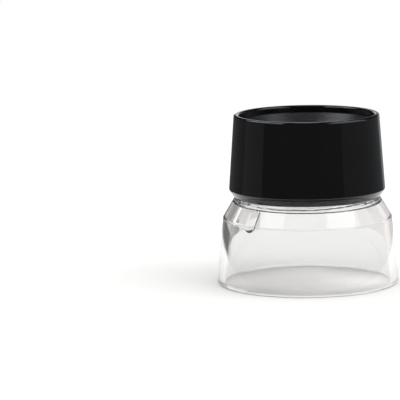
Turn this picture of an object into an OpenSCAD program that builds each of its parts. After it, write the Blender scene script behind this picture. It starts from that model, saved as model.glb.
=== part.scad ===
// Focusing viewing loupe: a clear conical skirt with a threaded neck, and a black barrel
// that holds two plano-convex lenses and screws up and down on the neck.
// The origin is the centre of the base plane, and +Z runs up the optical axis.

/* [Skirt] */
// Outer diameter of the skirt at its base
base_d = 48; // [47:0.5:50]
// Height of the outer kink where the shoulder starts
kink_z = 17.5; // [17:0.1:18]
// Outer diameter of the skirt at the kink
kink_d = 44.4; // [44:0.1:45]
// Height of the ledge that the barrel comes down to
ledge_z = 22.7; // [22.6:0.1:23]
// Outer diameter of the skirt at the ledge
ledge_d = 38.2; // [38:0.1:38.5]
// Wall thickness of the skirt, measured level
wall = 2.0; // [1.8:0.1:2.2]

/* [Neck and thread] */
// Outer diameter of the neck inside the barrel
neck_d = 36.9; // [36.7:0.1:37]
// Bore of the neck, at the root of its thread
bore_d = 34.6; // [34.5:0.1:34.8]
// Height of the top of the neck
neck_top = 32.2; // [31:0.1:32.4]
// Number of thread starts
starts = 3; // [2:1:4]
// Distance from one thread ridge to the next along the axis
pitch = 1.2; // [1.1:0.1:1.6]
// Depth of a thread ridge
ridge = 0.45; // [0.3:0.05:0.45]

/* [Stop rib] */
// Diameter of the thumb shape that the rib inside the shoulder is cut from
rib_d = 4.8; // [4.6:0.1:5]
// Turn of the rib from the front, seen from above and towards the left
rib_turn = 45.5; // [0:0.5:359]
// Height of the lowest point of that thumb shape
rib_foot = 15.1; // [14.8:0.1:15.4]

/* [Barrel] */
// Overall height of the loupe, barrel screwed right down
total_h = 44.6; // [44.2:0.1:46]
// Outer diameter of the rim
rim_d = 38.2; // [37.8:0.1:39]
// Widest diameter of the grip sleeve
grip_d = 41.1; // [40.6:0.1:42]
// Height of the widest line of the sleeve
grip_z = 24.9; // [24.7:0.1:26]
// Wall thickness of the sleeve at the rim
rim_wall = 1.3; // [1.2:0.05:1.4]
// Gap under the sleeve, barrel screwed right down
rest_gap = 0.1; // [0.1:0.05:0.4]

/* [Optics] */
// Outer diameter of both lenses
lens_d = 31; // [30.6:0.1:31]
// Radius of the convex faces
lens_r = 28.3; // [27:0.1:34]
// Diameter of the convex faces
lens_ap = 29.4; // [28:0.1:29.4]
// Thickness of the lens edges
lens_edge = 1.6; // [1.4:0.1:1.8]
// Height of the flat face of the field lens
field_z = 24.6; // [24.5:0.1:24.8]
// Air gap between the two convex faces, on the axis
air_gap = 2.0; // [1:0.1:2]

/* [Hidden] */
$fn = 96;

play = 0.05;                               // assembly gap between two faces that meet
turn_play = 0.1;                           // running gap between faces that turn past each other
overlap = 0.15;                            // how far a ridge is rooted in its wall
lead = starts * pitch;                     // rise of the barrel in one turn

// Skirt
base_r = base_d / 2;
kink_r = kink_d / 2;
ledge_r = ledge_d / 2;
bore_r = bore_d / 2;
neck_r = neck_d / 2;
shoulder_slope = (kink_r - ledge_r) / (ledge_z - kink_z);
inner_kink_z = kink_z - 0.8;               // the inner kink sits a little lower than the outer one
inner_kink_r = kink_r - wall;
ceiling_z = ledge_z - 2.1;                 // underside of the solid ring below the neck
ceiling_r = inner_kink_r - (ceiling_z - inner_kink_z) * shoulder_slope;
edge_round = 0.3;                          // rounding of moulded edges

// Sleeve
sleeve_foot = ledge_z + rest_gap;
sleeve_foot_r = ledge_r;
sleeve_bore_r = neck_r + turn_play;
step_z = neck_top + 0.8;                   // where the sleeve narrows above the neck
rim_r = rim_d / 2;
grip_r = grip_d / 2;
recess_r = rim_r - rim_wall;

// Lens stack, from the film up
lens_rad = lens_d / 2;
sag = lens_r - sqrt(pow(lens_r, 2) - pow(lens_ap / 2, 2));
field_land = field_z + lens_edge;
eye_land = field_land + 2 * sag + air_gap;
eye_top = eye_land + lens_edge;

// Lens tube
tube_r = bore_r - ridge - 0.15;            // root of the tube's own thread
tube_bore_r = lens_rad + turn_play;
tube_foot = sleeve_foot + 0.3;
lip_z = eye_top + play;                    // underside of the lip over the eye lens
tube_top = lip_z + 0.85;
lip_r = 14.6;

// Threads: the tube's ridges lie half a pitch above the neck's, with the barrel screwed down
neck_thread_z = ceiling_z + 0.6;
neck_thread_top = neck_top - 0.8;
tube_thread_z = neck_thread_z
              + (ceil((tube_foot + 0.6 - neck_thread_z) / pitch) + 0.5) * pitch;
tube_thread_top = step_z - 1.6;

// Bezel
bezel_top = total_h - 1.9;
bezel_land = 0.45;                         // flat rim round the top of the funnel

// Points of an arc in the plane of a turned profile.
function arc(c, r, a0, a1, n = 5) =
    [for (i = [0 : n]) let (a = a0 + (a1 - a0) * i / n) c + r * [cos(a), sin(a)]];

// A ring turned from a square profile.
module ring(r_in, r_out, z0, z1) {
    rotate_extrude() translate([r_in, z0]) square([r_out - r_in, z1 - z0]);
}

// One thread ridge: a trapezoid swept up a helix, fading into its wall at both ends.
// root is the radius of the wall and side is 1 for a ridge that stands outwards, -1 inwards.
module ridge_helix(root, side, z0, z1, start) {
    steps_per_turn = 36;
    fade = 4;                              // steps over which an end fades
    foot_half = 0.36;                      // half width of the ridge at its wall
    crest_half = 0.14;                     // half width of the ridge at its crest
    n = floor((z1 - z0) / lead * steps_per_turn);
    points = [
        for (i = [0 : n])
            let (a = 360 * (i / steps_per_turn + start / starts),
                 z = z0 + lead * i / steps_per_turn,
                 rise = min(1, (i + 0.5) / fade, (n - i + 0.5) / fade),
                 inner = root - side * overlap,
                 crest = root + side * ridge * rise)
            for (q = [[inner, -foot_half], [crest, -crest_half],
                      [crest, crest_half], [inner, foot_half]])
                [q[0] * cos(a), q[0] * sin(a), z + q[1]]
    ];
    along = [
        for (i = [0 : n - 1], k = [0 : 3])
            let (a = 4 * i + k, b = 4 * i + (k + 1) % 4)
                each [[a, b, b + 4], [a, b + 4, a + 4]]
    ];
    ends = [[0, 3, 2], [0, 2, 1],
            [4 * n, 4 * n + 1, 4 * n + 2], [4 * n, 4 * n + 2, 4 * n + 3]];
    faces = concat(along, ends);
    polyhedron(points, side > 0 ? faces : [for (f = faces) [f[0], f[2], f[1]]]);
}

module threads(root, side, z0, z1) {
    for (s = [0 : starts - 1]) ridge_helix(root, side, z0, z1, s);
}

// Outline of the skirt's outer wall, from the base up to the ledge.
function skirt_outside() = concat(
    arc([base_r - edge_round, edge_round], edge_round, -90, 0),
    [[kink_r, kink_z], [ledge_r, ledge_z]]
);

// The rib inside the shoulder: a thumb shape sunk in the wall, cut flat a little in front of the
// inner face, and cut off short of the outer face.
module stop_rib() {
    sunk = 1.75;                           // how far the thumb's middle line lies behind the inner face
    proud = 0.75;                          // how far the flat face stands in front of it
    skin = 0.5;                            // what stays clear of the outer face
    inner = bore_r + 0.1;
    ends = [rib_foot + rib_d / 2, ledge_z - 0.2 - rib_d / 2];
    intersection() {
        rotate([0, 0, 270 - rib_turn])
            hull() for (z = ends)
                translate([inner_kink_r - (z - inner_kink_z) * shoulder_slope + sunk, 0, z])
                    sphere(d = rib_d, $fn = 48);
        rotate_extrude()
            polygon([[base_r - wall - proud, 0], [base_r - skin, 0], [kink_r - skin, kink_z],
                     [ledge_r - skin, ledge_z], [inner, ledge_z], [inner, ceiling_z],
                     [inner_kink_r - proud, inner_kink_z]]);
    }
}

module clear_skirt() {
    foot_r = base_r - wall;
    color([0.93, 0.94, 0.95, 0.35]) {
        rotate_extrude()
            polygon(concat(
                skirt_outside(),
                [[neck_r, ledge_z], [neck_r, neck_top - edge_round],
                 [neck_r - edge_round, neck_top], [bore_r + edge_round, neck_top],
                 [bore_r, neck_top - edge_round], [bore_r, ceiling_z],
                 [ceiling_r, ceiling_z], [inner_kink_r, inner_kink_z]],
                arc([foot_r + edge_round, edge_round], edge_round, 180, 270)
            ));
        threads(bore_r, -1, neck_thread_z, neck_thread_top);
        stop_rib();
    }
}

module grip_sleeve() {
    round_r = rim_wall / 2 - 0.05;         // the rim is all but half round
    color([0.03, 0.03, 0.035])
        rotate_extrude()
            polygon(concat(
                [[sleeve_bore_r, sleeve_foot], [sleeve_foot_r, sleeve_foot],
                 [grip_r - 0.15, grip_z - 0.2], [grip_r, grip_z + 0.1]],
                arc([rim_r - round_r, total_h - round_r], round_r, 0, 90),
                arc([recess_r + round_r, total_h - round_r], round_r, 90, 180),
                [[recess_r, step_z], [sleeve_bore_r, step_z]]
            ));
}

module lens_tube() {
    color([0.05, 0.05, 0.05]) {
        rotate_extrude()
            polygon([
                [tube_bore_r, tube_foot], [tube_r - 0.3, tube_foot], [tube_r, tube_foot + 0.3],
                [tube_r, step_z - 0.6], [recess_r - play, step_z], [recess_r - play, tube_top],
                [lip_r, tube_top], [lip_r, lip_z], [tube_bore_r, lip_z]
            ]);
        threads(tube_r, 1, tube_thread_z, tube_thread_top);
    }
}

module eye_bezel() {
    foot = tube_top + play;
    rim = recess_r - play;
    color([0.14, 0.14, 0.15])
        rotate_extrude()
            polygon([[lip_r, foot], [rim, foot], [rim, bezel_top],
                     [rim - bezel_land, bezel_top], [lip_r, foot + 0.3]]);
}

// Plano-convex lens with its flat face down at z = 0 and a flat land round the dome.
module plano_convex() {
    cylinder(h = lens_edge, r = lens_rad);
    intersection() {
        translate([0, 0, lens_edge + sag - lens_r]) sphere(r = lens_r);
        cylinder(h = lens_edge + sag + 1, r = lens_ap / 2);
    }
}

module field_lens() {
    color([0.88, 0.93, 0.95, 0.35]) translate([0, 0, field_z]) plano_convex();
}

module eye_lens() {
    color([0.88, 0.93, 0.95, 0.35]) translate([0, 0, eye_top]) mirror([0, 0, 1]) plano_convex();
}

module lens_spacer() {
    color([0.06, 0.06, 0.06]) ring(lens_ap / 2 + 0.1, lens_rad, field_land + play, eye_land - play);
}

module retaining_ring() {
    top = field_z - play;
    slot_w = 1.2;
    slot_depth = 0.5;
    color([0.07, 0.07, 0.07])
        difference() {
            ring(lip_r, tube_bore_r - play, tube_foot, top);
            for (a = [0, 180]) rotate([0, 0, a])
                translate([lip_r - 1, -slot_w / 2, tube_foot - 1])
                    cube([4, slot_w, 1 + slot_depth]);
        }
}

clear_skirt();
grip_sleeve();
lens_tube();
eye_bezel();
eye_lens();
lens_spacer();
field_lens();
retaining_ring();
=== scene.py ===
import math

import bmesh
import bpy
from mathutils import Matrix, Vector


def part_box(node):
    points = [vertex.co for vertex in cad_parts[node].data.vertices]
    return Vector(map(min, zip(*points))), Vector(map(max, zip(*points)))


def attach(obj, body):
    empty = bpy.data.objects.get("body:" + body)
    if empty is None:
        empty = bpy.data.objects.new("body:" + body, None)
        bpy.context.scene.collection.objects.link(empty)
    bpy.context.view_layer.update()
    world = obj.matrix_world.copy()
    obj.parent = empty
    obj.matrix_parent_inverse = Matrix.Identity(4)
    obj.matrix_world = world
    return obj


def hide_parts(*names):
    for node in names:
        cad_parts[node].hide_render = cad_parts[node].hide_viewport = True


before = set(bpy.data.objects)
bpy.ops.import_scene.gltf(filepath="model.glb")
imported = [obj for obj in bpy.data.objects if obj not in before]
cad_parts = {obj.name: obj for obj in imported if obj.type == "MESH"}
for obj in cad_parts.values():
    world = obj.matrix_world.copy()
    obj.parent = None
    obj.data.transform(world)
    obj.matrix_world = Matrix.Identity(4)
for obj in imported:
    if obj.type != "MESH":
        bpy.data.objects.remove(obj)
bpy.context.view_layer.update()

MM = 0.001
TURN = 2 * math.pi
SEGMENTS = 288                 # steps round a turned piece
ROUND_STEPS = 5                # steps in a rounded corner
SHARP_ANGLE = math.radians(27)
LONG_RUN, GUARD = 0.8, 0.03    # runs this long, in millimetres, get a guard point this far from each end
CORNER_SHARE = 0.48            # most of a side that one rounded corner may use
SAME = 1e-4                    # radii this close, in millimetres, are the same
COLOUR_A, COLOUR_B, COLOUR_OUT = 6, 7, 2    # the Mix node's sockets for colours


# ---------------------------------------------------------------------------------------------
# Sizes in millimetres: the first ones from the frame's boxes, then those that a box can't give
# ---------------------------------------------------------------------------------------------

def reach(node):
    """Outer radius, lowest and highest z of a CAD node, in millimetres."""
    low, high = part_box(node)
    return high.x / MM, low.z / MM, high.z / MM


BASE_R, BASE_Z, NECK_TOP = reach("clear_skirt")
GRIP_R, SLEEVE_FOOT, TOP = reach("grip_sleeve")
TUBE_FLANGE_R, TUBE_FOOT, TUBE_TOP = reach("lens_tube")
BEZEL_R, BEZEL_FOOT, BEZEL_TOP = reach("eye_bezel")
LENS_R, _, EYE_TOP = reach("eye_lens")
FIELD_LOW = reach("field_lens")[1]
SPACER_R, SPACER_LOW, SPACER_HIGH = reach("lens_spacer")

# Skirt
WALL = 2.0
KINK_R, KINK_Z = BASE_R - 1.8, 17.5
LEDGE_R, LEDGE_Z = 19.1, SLEEVE_FOOT - 0.1
NECK_R, BORE_R = 18.45, 17.3
INNER_KINK_R, INNER_KINK_Z = KINK_R - WALL, KINK_Z - 0.8
SHOULDER_SLOPE = (KINK_R - LEDGE_R) / (LEDGE_Z - KINK_Z)
CEILING_Z = LEDGE_Z - 2.1
CEILING_R = INNER_KINK_R - (CEILING_Z - INNER_KINK_Z) * SHOULDER_SLOPE

# Stop rib: its radius, its foot's height and its place round the skirt, left of the front
RIB_R, RIB_FOOT, RIB_TURN = 2.4, 15.1, math.radians(45.5)
RIB_SUNK = 1.75                # from the wall's inner face out to its centre line
RIB_PROUD = 0.75               # from the wall's inner face in to its flat face
RIB_SKIN = 0.5                 # thickness of the wall's outer skin, which it stays behind
RIB_GAP = 0.1                  # how far it stays outside the bore
RIB_TOP = LEDGE_Z - 0.2
RIB_SEGMENTS, RIB_END_STEPS = 64, 12

# Sleeve
RIM_R, RIM_WALL = 19.1, 1.3
RIM_ROUND = RIM_WALL / 2 - 0.05
GRIP_Z = 24.9
SLEEVE_BORE_R = NECK_R + 0.1
STEP_Z = NECK_TOP + 0.8

# Threads: the ridge's height and its half widths at the foot and the crest
STARTS, PITCH = 3, 1.2
RIDGE, FOOT_HALF, CREST_HALF = 0.45, 0.36, 0.14
THREAD_FADE = 0.5              # length over which a ridge runs out
THREAD_STEP = 0.09             # steps of the mesh along the axis
NECK_THREAD = (CEILING_Z + 0.6, NECK_TOP - 0.8)
TUBE_R = BORE_R - RIDGE - 0.15
TUBE_THREAD_LOW = NECK_THREAD[0] + (math.ceil((TUBE_FOOT + 0.6 - NECK_THREAD[0]) / PITCH) + 0.5) * PITCH
TUBE_THREAD = (TUBE_THREAD_LOW, STEP_Z - 1.6)

# Lens stack
TUBE_BORE_R = LENS_R + 0.1
LIP_R, LIP_THICK = 14.6, 0.85
DOME_R, DOME_APERTURE_R, DOME_STEPS = 28.3, 14.7, 40
LENS_EDGE, LENS_BEVEL = 1.6, 0.15
BEZEL_LAND = 0.45


# ---------------------------------------------------------------------------------------------
# Mesh building
# ---------------------------------------------------------------------------------------------

def mesh_object(name, points, faces):
    """A smooth-shaded mesh from points in millimetres, with its sharp edges marked."""
    mesh = bpy.data.meshes.new(name)
    mesh.from_pydata([Vector(p) * MM for p in points], [], faces)
    tidy = bmesh.new()
    tidy.from_mesh(mesh)
    bmesh.ops.recalc_face_normals(tidy, faces=tidy.faces)
    tidy.to_mesh(mesh)
    tidy.free()
    piece = bpy.data.objects.new(name, mesh)
    bpy.context.scene.collection.objects.link(piece)
    shade(piece)
    return piece


def shade(piece):
    """Smooth shading that keeps the sharp edges sharp."""
    piece.data.polygons.foreach_set("use_smooth", [True] * len(piece.data.polygons))
    piece.data.set_sharp_from_angle(angle=SHARP_ANGLE)


def rounded(corners):
    """A closed outline of (r, z) points from corners (r, z, radius), each rounded to its radius."""
    outline = []
    for i, (r, z, radius) in enumerate(corners):
        here = Vector((r, z))
        before = Vector(corners[i - 1][:2]) - here
        after = Vector(corners[(i + 1) % len(corners)][:2]) - here
        half = before.angle(after) / 2
        back = min(radius / math.tan(half), CORNER_SHARE * before.length, CORNER_SHARE * after.length)
        real = back * math.tan(half)
        centre = here + (before.normalized() + after.normalized()).normalized() * (real / math.sin(half))
        start = here + before.normalized() * back - centre
        end = here + after.normalized() * back - centre
        sweep = start.angle_signed(end)
        for k in range(ROUND_STEPS + 1):
            turned_by = Matrix.Rotation(-sweep * k / ROUND_STEPS, 2)
            outline.append(tuple(centre + turned_by @ start))
    return outline


def guarded(outline):
    """The outline with a point close to each end of its long runs, so that they shade as true cones."""
    points = []
    for i, (r, z) in enumerate(outline):
        r_next, z_next = outline[(i + 1) % len(outline)]
        length = math.hypot(r_next - r, z_next - z)
        stops = [0, GUARD / length, 1 - GUARD / length] if length > LONG_RUN else [0]
        points += [(r + (r_next - r) * t, z + (z_next - z) * t) for t in stops]
    return points


def fine_stretch(outline, radius):
    """The outline with its straight run at this radius cut into short steps, for a thread."""
    points = []
    for i, (r, z) in enumerate(outline):
        r_next, z_next = outline[(i + 1) % len(outline)]
        points.append((r, z))
        on_run = abs(r - radius) < SAME and abs(r_next - radius) < SAME
        pieces = max(1, round(abs(z_next - z) / THREAD_STEP)) if on_run else 1
        points += [(r, z + (z_next - z) * k / pieces) for k in range(1, pieces)]
    return points


def turned(name, outline, relief=None, segments=SEGMENTS):
    """Turns a closed outline of (r, z) points about Z. relief(r, angle, z) moves a point outwards."""
    rings = []
    points = []
    for r, z in guarded(outline):
        if r < SAME:
            rings.append([len(points)] * segments)
            points.append((0, 0, z))
            continue
        rings.append(list(range(len(points), len(points) + segments)))
        for k in range(segments):
            angle = TURN * k / segments
            reach_r = r + (relief(r, angle, z) if relief else 0)
            points.append((reach_r * math.cos(angle), reach_r * math.sin(angle), z))
    faces = []
    for i, ring in enumerate(rings):
        above = rings[(i + 1) % len(rings)]
        for k in range(segments):
            m = (k + 1) % segments
            corners = [ring[k], ring[m], above[m], above[k]]
            face = [c for j, c in enumerate(corners) if c != corners[j - 1]]
            if len(face) > 2:
                faces.append(face)
    return mesh_object(name, points, faces)


def combine(piece, tool, operation):
    """Combines two solids into the first by an exact boolean, and removes the second."""
    boolean = piece.modifiers.new("combine", "BOOLEAN")
    boolean.operation = operation
    boolean.solver = "EXACT"
    boolean.object = tool
    evaluated = piece.evaluated_get(bpy.context.evaluated_depsgraph_get())
    combined = bpy.data.meshes.new_from_object(evaluated)
    piece.modifiers.remove(boolean)
    piece.data = combined
    bpy.data.objects.remove(tool)
    shade(piece)


def clamp(x):
    """x held between 0 and 1."""
    return max(0.0, min(1.0, x))


def smooth(x):
    """x from 0 to 1, eased at both ends."""
    return x * x * (3 - 2 * x)


def thread_relief(radius, side, low, high):
    """Relief of a multi-start right-hand thread on the wall at this radius."""
    def relief(r, angle, z):
        if abs(r - radius) > SAME:
            return 0.0
        phase = (z - low) / PITCH - STARTS * angle / TURN
        off_crest = abs(phase - round(phase)) * PITCH
        rise = clamp((FOOT_HALF - off_crest) / (FOOT_HALF - CREST_HALF))
        fade = smooth(clamp((z - low) / THREAD_FADE + 0.5)) * smooth(clamp((high - z) / THREAD_FADE + 0.5))
        return side * RIDGE * rise * fade
    return relief


# ---------------------------------------------------------------------------------------------
# Pieces
# ---------------------------------------------------------------------------------------------

def stop_rib():
    """A thumb shape sunk in the shoulder's inner wall, with a flat face."""
    ends = []
    for z in (RIB_FOOT + RIB_R, RIB_TOP - RIB_R):
        wall_r = INNER_KINK_R - (z - INNER_KINK_Z) * SHOULDER_SLOPE
        ends.append(Vector((wall_r + RIB_SUNK, 0, z)))
    foot, head = ends
    along = head - foot
    quarter = [math.pi / 2 * k / RIB_END_STEPS for k in range(RIB_END_STEPS + 1)]
    low_end = [(RIB_R * math.sin(a), -RIB_R * math.cos(a)) for a in quarter]
    high_end = [(RIB_R * math.cos(a), along.length + RIB_R * math.sin(a)) for a in quarter]
    thumb = turned("stop_rib", low_end + high_end, segments=RIB_SEGMENTS)
    lean = along.to_track_quat("Z", "Y").to_matrix().to_4x4()
    front = TURN * 0.75
    swing = Matrix.Rotation(front - RIB_TURN, 4, "Z")
    thumb.data.transform(swing @ Matrix.Translation(foot * MM) @ lean)
    inner = BORE_R + RIB_GAP
    band = turned("rib_band", [
        (BASE_R - WALL - RIB_PROUD, 0), (BASE_R - RIB_SKIN, 0), (KINK_R - RIB_SKIN, KINK_Z),
        (LEDGE_R - RIB_SKIN, LEDGE_Z), (inner, LEDGE_Z), (inner, CEILING_Z),
        (INNER_KINK_R - RIB_PROUD, INNER_KINK_Z),
    ])
    combine(thumb, band, "INTERSECT")
    return thumb


def make_skirt():
    """The clear moulding: cone, shoulder, ledge and threaded neck, with the stop rib."""
    outline = rounded([
        (BASE_R, BASE_Z, 0.7), (KINK_R, KINK_Z, 0.5), (LEDGE_R, LEDGE_Z, 0.15),
        (NECK_R, LEDGE_Z, 0.15), (NECK_R, NECK_TOP, 0.25), (BORE_R, NECK_TOP, 0.25),
        (BORE_R, CEILING_Z, 0.25), (CEILING_R, CEILING_Z, 0.3), (INNER_KINK_R, INNER_KINK_Z, 0.9),
        (BASE_R - WALL, BASE_Z, 0.45),
    ])
    skirt = turned("skirt_moulding", fine_stretch(outline, BORE_R),
                   thread_relief(BORE_R, -1, *NECK_THREAD))
    combine(skirt, stop_rib(), "UNION")
    return skirt


def make_sleeve():
    """The glossy outer barrel, with the bevel at its foot."""
    return turned("grip_sleeve_shell", rounded([
        (LEDGE_R, SLEEVE_FOOT, 0.04), (GRIP_R, GRIP_Z, 0.35), (RIM_R, TOP, RIM_ROUND),
        (RIM_R - RIM_WALL, TOP, RIM_ROUND), (RIM_R - RIM_WALL, STEP_Z, 0.1),
        (SLEEVE_BORE_R, STEP_Z, 0.1), (SLEEVE_BORE_R, SLEEVE_FOOT, 0.12),
    ]))


def make_tube():
    """The threaded tube that holds the lenses, with a flange and an inner lip at its top."""
    outline = rounded([
        (TUBE_BORE_R, TUBE_FOOT, 0.1), (TUBE_R, TUBE_FOOT, 0.3), (TUBE_R, STEP_Z - 0.6, 0.2),
        (TUBE_FLANGE_R, STEP_Z, 0.1), (TUBE_FLANGE_R, TUBE_TOP, 0.12), (LIP_R, TUBE_TOP, 0.12),
        (LIP_R, TUBE_TOP - LIP_THICK, 0.1), (TUBE_BORE_R, TUBE_TOP - LIP_THICK, 0.1),
    ])
    return turned("lens_tube_body", fine_stretch(outline, TUBE_R),
                  thread_relief(TUBE_R, 1, *TUBE_THREAD))


def make_bezel():
    """The funnel ring that faces the eye."""
    return turned("eye_bezel_ring", rounded([
        (LIP_R, BEZEL_FOOT, 0.08), (BEZEL_R, BEZEL_FOOT, 0.1), (BEZEL_R, BEZEL_TOP, 0.08),
        (BEZEL_R - BEZEL_LAND, BEZEL_TOP, 0.15), (LIP_R, BEZEL_FOOT + 0.3, 0.1),
    ]))


def lens_outline(flat_z, up):
    """Half section of a plano-convex lens, with its flat face at flat_z and its dome up or down."""
    crown = LENS_EDGE + DOME_R - math.sqrt(DOME_R ** 2 - DOME_APERTURE_R ** 2)
    centre = crown - DOME_R
    widest = math.asin(DOME_APERTURE_R / DOME_R)
    angles = [widest * k / DOME_STEPS for k in range(DOME_STEPS + 1)]
    dome = [(DOME_R * math.sin(a), centre + DOME_R * math.cos(a)) for a in angles]
    land = LENS_R - LENS_BEVEL
    rim = [(land, LENS_EDGE), (LENS_R, LENS_EDGE - LENS_BEVEL), (LENS_R, LENS_BEVEL), (land, 0)]
    flat = [(LENS_R * 0.6, 0), (LENS_R * 0.2, 0), (0, 0)]
    return [(r, flat_z + up * z) for r, z in dome + rim + flat]


def make_lens(name, flat_z, up):
    """One of the two plano-convex lenses."""
    return turned(name, lens_outline(flat_z, up))


def make_spacer():
    """The ring between the two lenses."""
    inner = DOME_APERTURE_R + 0.1
    return turned("lens_spacer_ring", rounded([
        (inner, SPACER_LOW, 0.08), (SPACER_R, SPACER_LOW, 0.08),
        (SPACER_R, SPACER_HIGH, 0.08), (inner, SPACER_HIGH, 0.08),
    ]))


# ---------------------------------------------------------------------------------------------
# Materials
# ---------------------------------------------------------------------------------------------

class Shader:
    """A material with one Principled shader, and short calls for the nodes that feed it."""

    def __init__(self, name, **sockets):
        self.material = bpy.data.materials.new(name)
        self.material.use_nodes = True
        self.nodes = self.material.node_tree.nodes
        self.links = self.material.node_tree.links
        self.principled = self.nodes["Principled BSDF"]
        self.coordinates = self.nodes.new("ShaderNodeTexCoord").outputs["Object"]
        for label, value in sockets.items():
            self.principled.inputs[label.replace("_", " ")].default_value = value

    def stretch(self, scale):
        """Object coordinates stretched by a scale for each axis."""
        mapping = self.nodes.new("ShaderNodeMapping")
        mapping.inputs["Scale"].default_value = scale
        self.links.new(self.coordinates, mapping.inputs["Vector"])
        return mapping.outputs["Vector"]

    def noise(self, scale, detail=3.0, coordinates=None):
        """Noise from 0 to 1, over the object's coordinates unless others are given."""
        texture = self.nodes.new("ShaderNodeTexNoise")
        texture.inputs["Scale"].default_value = scale
        texture.inputs["Detail"].default_value = detail
        self.links.new(coordinates or self.coordinates, texture.inputs["Vector"])
        return texture.outputs["Fac"]

    def specks(self, scale, size):
        """Sparse round specks: 1 inside a speck and 0 elsewhere."""
        cells = self.nodes.new("ShaderNodeTexVoronoi")
        cells.inputs["Scale"].default_value = scale
        self.links.new(self.coordinates, cells.inputs["Vector"])
        return self.remap(cells.outputs["Distance"], 0.0, size, 1.0, 0.0)

    def remap(self, value, low, high, to_low, to_high):
        """A value taken from one range to another, and held within it."""
        node = self.nodes.new("ShaderNodeMapRange")
        node.clamp = True
        limits = {"From Min": low, "From Max": high, "To Min": to_low, "To Max": to_high}
        for label, number in limits.items():
            node.inputs[label].default_value = number
        self.links.new(value, node.inputs["Value"])
        return node.outputs["Result"]

    def add(self, first, second):
        """The sum of two values."""
        node = self.nodes.new("ShaderNodeMath")
        node.operation = "ADD"
        self.links.new(first, node.inputs[0])
        self.links.new(second, node.inputs[1])
        return node.outputs[0]

    def blend(self, factor, colour_a, colour_b):
        """A colour between two, each given as a colour or as another blend's output."""
        node = self.nodes.new("ShaderNodeMix")
        node.data_type = "RGBA"
        self.links.new(factor, node.inputs["Factor"])
        for place, colour in ((COLOUR_A, colour_a), (COLOUR_B, colour_b)):
            if isinstance(colour, tuple):
                node.inputs[place].default_value = (*colour, 1)
            else:
                self.links.new(colour, node.inputs[place])
        return node.outputs[COLOUR_OUT]

    def feed(self, label, value):
        """Links a value to a socket of the Principled shader."""
        self.links.new(value, self.principled.inputs[label])

    def bump(self, *layers):
        """Bumps stacked in order, each a height and its distance in metres."""
        normal = None
        for height, distance in layers:
            node = self.nodes.new("ShaderNodeBump")
            node.inputs["Distance"].default_value = distance
            self.links.new(height, node.inputs["Height"])
            if normal is not None:
                self.links.new(normal, node.inputs["Normal"])
            normal = node.outputs["Normal"]
        self.feed("Normal", normal)


def clear_acrylic():
    """Polished clear moulding: slow flow ripples, hairline scratches and a few dust specks."""
    s = Shader("clear_acrylic", IOR=1.491, Transmission_Weight=1.0)
    ripple = s.noise(90, 2)
    scratch = s.noise(30, 4, s.stretch((6, 6, 90)))
    speck = s.specks(330, 0.05)
    body = s.blend(ripple, (0.91, 0.912, 0.913), (0.895, 0.897, 0.898))
    s.feed("Base Color", s.blend(speck, body, (0.5, 0.5, 0.5)))
    s.feed("Roughness", s.add(s.remap(scratch, 0.62, 0.75, 0.0, 0.05), s.remap(speck, 0, 1, 0, 0.5)))
    s.bump((ripple, 0.00002), (scratch, 0.000001))
    return s.material


def black_gloss():
    """Glossy black moulding: faint orange peel, hairlines from handling and a few dust specks."""
    s = Shader("black_gloss", IOR=1.5)
    mottle = s.noise(160, 3)
    peel = s.noise(900, 2)
    hairline = s.noise(45, 5, s.stretch((4, 4, 60)))
    speck = s.specks(260, 0.04)
    body = s.blend(mottle, (0.0025, 0.0027, 0.003), (0.004, 0.004, 0.0045))
    s.feed("Base Color", s.blend(speck, body, (0.06, 0.06, 0.06)))
    smooth_part = s.remap(mottle, 0.3, 0.7, 0.05, 0.09)
    s.feed("Roughness", s.add(smooth_part, s.remap(hairline, 0.6, 0.75, 0.0, 0.08)))
    s.bump((peel, 0.0000015), (hairline, 0.000001))
    return s.material


def black_textured():
    """Fine spark-eroded texture of the funnel that faces the eye."""
    s = Shader("black_textured", IOR=1.5)
    grain = s.noise(5200, 3)
    cloud = s.noise(240, 3)
    fleck = s.remap(s.noise(7500, 1), 0.62, 0.74, 0.0, 1.0)
    body = s.blend(cloud, (0.007, 0.007, 0.009), (0.012, 0.012, 0.015))
    s.feed("Base Color", s.blend(fleck, body, (0.05, 0.05, 0.06)))
    s.feed("Roughness", s.remap(grain, 0.3, 0.7, 0.24, 0.36))
    s.bump((grain, 0.00004), (cloud, 0.00001))
    return s.material


def black_matte():
    """Matt inner moulding with faint turning marks."""
    s = Shader("black_matte", IOR=1.5)
    marks = s.noise(60, 3, s.stretch((1, 1, 60)))
    grain = s.noise(3500, 2)
    s.feed("Base Color", s.blend(marks, (0.008, 0.008, 0.009), (0.018, 0.018, 0.019)))
    s.feed("Roughness", s.remap(grain, 0.3, 0.7, 0.35, 0.5))
    s.bump((grain, 0.00001), (marks, 0.000006))
    return s.material


def lens_glass():
    """Polished lens with a faint coating and the lightest of smears."""
    s = Shader("lens_glass", IOR=1.5, Transmission_Weight=1.0,
               Thin_Film_Thickness=130.0, Thin_Film_IOR=1.38)
    smear = s.noise(140, 4, s.stretch((1, 2.5, 1)))
    speck = s.specks(300, 0.03)
    s.feed("Base Color", s.blend(smear, (0.985, 0.99, 0.985), (0.965, 0.975, 0.97)))
    s.feed("Roughness", s.add(s.remap(smear, 0.55, 0.8, 0.0, 0.03), s.remap(speck, 0, 1, 0, 0.4)))
    s.bump((smear, 0.0000005))
    return s.material


def white_sweep():
    """Matt pale paper under the object."""
    s = Shader("white_sweep", Roughness=0.9, IOR=1.3)
    s.feed("Base Color", s.blend(s.noise(40, 4), (0.875, 0.87, 0.855), (0.885, 0.88, 0.865)))
    s.bump((s.noise(2500, 3), 0.00001))
    return s.material


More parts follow.
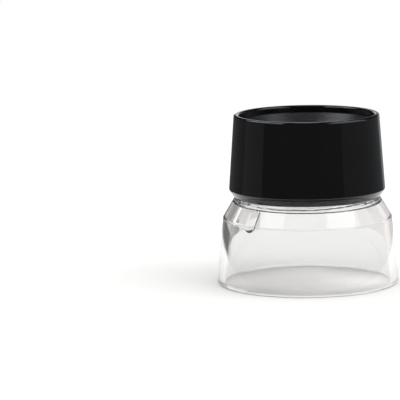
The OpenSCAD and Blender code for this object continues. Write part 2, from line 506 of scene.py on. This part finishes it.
def card_material(name, glow, colour):
    """A glowing card that lets through any light on its way to the floor."""
    s = Shader(name, Base_Color=(0.0, 0.0, 0.0, 1), Roughness=1.0, IOR=1.0)
    s.principled.inputs["Emission Color"].default_value = (*colour, 1)
    s.feed("Emission Strength", s.remap(s.noise(3, 2), 0.3, 0.7, glow * 0.97, glow * 1.03))
    path = s.nodes.new("ShaderNodeLightPath")
    s.feed("Alpha", s.remap(path.outputs["Diffuse Depth"], 0, 1, 1.0, 0.0))
    return s.material


# ---------------------------------------------------------------------------------------------
# Assembly
# ---------------------------------------------------------------------------------------------

def place(piece, node, body, slot, material):
    """Puts a finished piece in its CAD node's place."""
    piece.data.materials.clear()
    piece.data.materials.append(material)
    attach(piece, body)
    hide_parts(node)


def build():
    """Makes every piece and puts it in its CAD node's place. The retaining ring keeps its CAD mesh."""
    acrylic, gloss, textured = clear_acrylic(), black_gloss(), black_textured()
    matte, glass = black_matte(), lens_glass()
    place(make_skirt(), "clear_skirt", "skirt", "clear_acrylic", acrylic)
    place(make_sleeve(), "grip_sleeve", "barrel", "black_gloss", gloss)
    place(make_tube(), "lens_tube", "barrel", "black_matte", matte)
    place(make_bezel(), "eye_bezel", "barrel", "black_textured", textured)
    place(make_lens("eye_lens_element", EYE_TOP, -1), "eye_lens", "optics", "lens", glass)
    place(make_lens("field_lens_element", FIELD_LOW, 1), "field_lens", "optics", "lens", glass)
    place(make_spacer(), "lens_spacer", "optics", "black_matte", matte)
    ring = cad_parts["retaining_ring"]
    ring.data.materials.clear()
    ring.data.materials.append(matte)


# ---------------------------------------------------------------------------------------------
# Stage, lights and camera
# ---------------------------------------------------------------------------------------------

# Colours of the glow: cool in the reflections and warm in the refractions
COOL, WARM = (0.95, 0.97, 1.0), (1.0, 0.97, 0.95)

# Cards that only reflections see: name, radius, start and end azimuth, bottom and top, and glow.
# Azimuth 0 is the camera's side, and positive is to the right.
CARD_STEP = 5
CARDS = (
    ("card_front", 95, -63, 50, 0, 60, 0.072),
    ("card_right", 95, 50, 140, 0, 60, 0.15),
    ("card_left", 95, -100, -63, 0, 60, 0.2),
    ("card_far_left", 95, -165, -100, 0, 60, 0.11),
    ("card_far_right", 95, 140, 172, 0, 60, 0.45),
    ("card_high", 95, -165, 172, 60, 520, 0.04),
    ("window_left", 92, -70, -36, 70, 110, 1.9),
    ("window_right", 92, 33, 100, 50, 110, 1.3),
    ("window_high_left", 91, -111, -78, 84, 190, 4.4),
    ("window_high_front", 90, -78, -45, 125, 200, 4.2),
    ("window_high_right", 91, 50, 104, 112, 190, 3.0),
)

# Cards that only refractions see, which draw the edges of the clear walls
EDGE_CARDS = (
    ("edge_left_low", 95, -158, -118, 0, 7, 0.2),
    ("edge_left_mid", 95, -158, -118, 7, 22, 0.75),
    ("edge_left_top", 95, -158, -118, 22, 40, 0.4),
    ("edge_back_left", 95, -168, -158, 0, 40, 0.85),
    ("edge_right", 95, 70, 142, 0, 60, 1.2),
    ("edge_back_right", 95, 142, 168, 0, 40, 1.0),
)

# Lamps, which only light: name, azimuth, elevation, distance, width, height and power.
# The distance and the size are in metres, and they all point at one place on the axis.
LAMPS = (
    ("lamp_right", 68, 42, 0.9, 0.7, 0.5, 2.2),
    ("lamp_top", 0, 75, 0.9, 0.7, 0.7, 1.1),
    ("low_left", -110, 10, 0.9, 0.8, 0.25, 1.8),
    ("low_right", 105, 10, 0.9, 0.8, 0.25, 1.8),
)
LAMP_AIM = Vector((0, 0, 0.02))

# Small lamps inside the skirt: name, x and y in millimetres, and power
FILLS = (
    ("fill_left", -15, 0, 0.0005),
    ("fill_right", 15, 0, 0.0012),
    ("fill_back", -1, 16, 0.0006),
    ("fill_front", 2, -17, 0.0004),
)
FILL_Z, FILL_SIZE, FILL_COLOUR = 14, 10, (1.0, 0.95, 0.93)


def add_floor():
    """A square floor just under the foot."""
    half, gap = 350, 0.03
    corners = [(half * x, half * y, -gap) for x, y in ((-1, -1), (1, -1), (1, 1), (-1, 1))]
    floor = mesh_object("floor", corners, [[0, 1, 2, 3]])
    floor.data.materials.append(white_sweep())


def add_card(name, radius, start, end, bottom, top, glow, colour):
    """A curved card round the loupe, from one azimuth to another, in flat strips."""
    steps = max(2, round((end - start) / CARD_STEP))
    angles = [math.radians(start + (end - start) * k / steps - 90) for k in range(steps + 1)]
    points = [(radius * math.cos(a), radius * math.sin(a), z) for a in angles for z in (bottom, top)]
    faces = [[2 * k, 2 * k + 2, 2 * k + 3, 2 * k + 1] for k in range(steps)]
    card = mesh_object(name, points, faces)
    card.data.materials.append(card_material(name, glow, colour))
    card.visible_camera = False
    card.visible_diffuse = False
    card.visible_shadow = False
    return card


def hide_from_glass(light):
    """Stops a lamp showing through the clear walls, though its light still passes them to the floor."""
    light.use_nodes = True
    nodes, links = light.node_tree.nodes, light.node_tree.links
    path = nodes.new("ShaderNodeLightPath")
    first = nodes.new("ShaderNodeMath")
    first.operation, first.use_clamp = "SUBTRACT", True
    first.inputs[0].default_value = 1.0
    links.new(path.outputs["Diffuse Depth"], first.inputs[1])
    seen = nodes.new("ShaderNodeMath")
    seen.operation = "MULTIPLY"
    links.new(first.outputs[0], seen.inputs[0])
    links.new(path.outputs["Is Transmission Ray"], seen.inputs[1])
    strength = nodes.new("ShaderNodeMath")
    strength.operation = "SUBTRACT"
    strength.inputs[0].default_value = 1.0
    links.new(seen.outputs[0], strength.inputs[1])
    links.new(strength.outputs[0], nodes["Emission"].inputs["Strength"])


def add_lamp(name, azimuth, elevation, distance, width, height, power):
    """A soft area light aimed at the object, left out of its reflections."""
    a, e = math.radians(azimuth), math.radians(elevation)
    towards = Vector((math.sin(a) * math.cos(e), -math.cos(a) * math.cos(e), math.sin(e)))
    light = bpy.data.lights.new(name, "AREA")
    light.shape = "RECTANGLE"
    light.size, light.size_y, light.energy = width, height, power
    hide_from_glass(light)
    lamp = bpy.data.objects.new(name, light)
    bpy.context.scene.collection.objects.link(lamp)
    lamp.location = LAMP_AIM + towards * distance
    lamp.rotation_euler = towards.to_track_quat("Z", "Y").to_euler()
    lamp.visible_glossy = False


def add_fill(name, x, y, power):
    """A small lamp under the barrel, unseen itself, that lifts the floor inside the skirt."""
    light = bpy.data.lights.new(name, "AREA")
    light.shape = "DISK"
    light.size, light.energy, light.color = FILL_SIZE * MM, power, FILL_COLOUR
    lamp = bpy.data.objects.new(name, light)
    bpy.context.scene.collection.objects.link(lamp)
    lamp.location = Vector((x, y, FILL_Z)) * MM
    lamp.visible_camera = False
    lamp.visible_glossy = False
    lamp.visible_transmission = False


def add_world():
    """An even white studio all round."""
    world = bpy.data.worlds.new("studio")
    world.use_nodes = True
    background = world.node_tree.nodes["Background"]
    background.inputs["Color"].default_value = (1.0, 1.0, 1.0, 1)
    background.inputs["Strength"].default_value = 1.0
    bpy.context.scene.world = world
    bpy.context.scene.view_settings.view_transform = "Standard"


def add_camera():
    """A long lens 11 degrees above the horizon, with the loupe right of centre and slightly tilted."""
    distance = 28.5 * BASE_R * MM
    elevation, yaw = math.radians(10.83), math.radians(2.41)
    pitch, roll = math.radians(1.82), math.radians(-0.94)
    position = Vector((0, -distance * math.cos(elevation), distance * math.sin(elevation)))
    turn = Matrix.Rotation(yaw, 3, "Z")
    right = turn @ Vector((1, 0, 0))
    forward = turn @ Vector((0, math.cos(elevation), -math.sin(elevation)))
    up = right.cross(forward)
    tilt = Matrix.Rotation(pitch, 3, right)
    forward, up = tilt @ forward, tilt @ up
    rolled = Matrix.Rotation(-roll, 3, forward)
    right, up = rolled @ right, rolled @ up
    data = bpy.data.cameras.new("camera")
    data.lens, data.sensor_width = 232.1, 36
    data.clip_start, data.clip_end = 0.01, 20
    camera = bpy.data.objects.new("camera", data)
    axes = Matrix((right, up, -forward)).transposed()
    camera.matrix_world = Matrix.Translation(position) @ axes.to_4x4()
    bpy.context.scene.collection.objects.link(camera)
    bpy.context.scene.camera = camera


build()
add_floor()
for card in CARDS:
    add_card(*card, COOL).visible_transmission = False
for card in EDGE_CARDS:
    add_card(*card, WARM).visible_glossy = False
for lamp in LAMPS:
    add_lamp(*lamp)
for fill in FILLS:
    add_fill(*fill)
add_world()
add_camera()
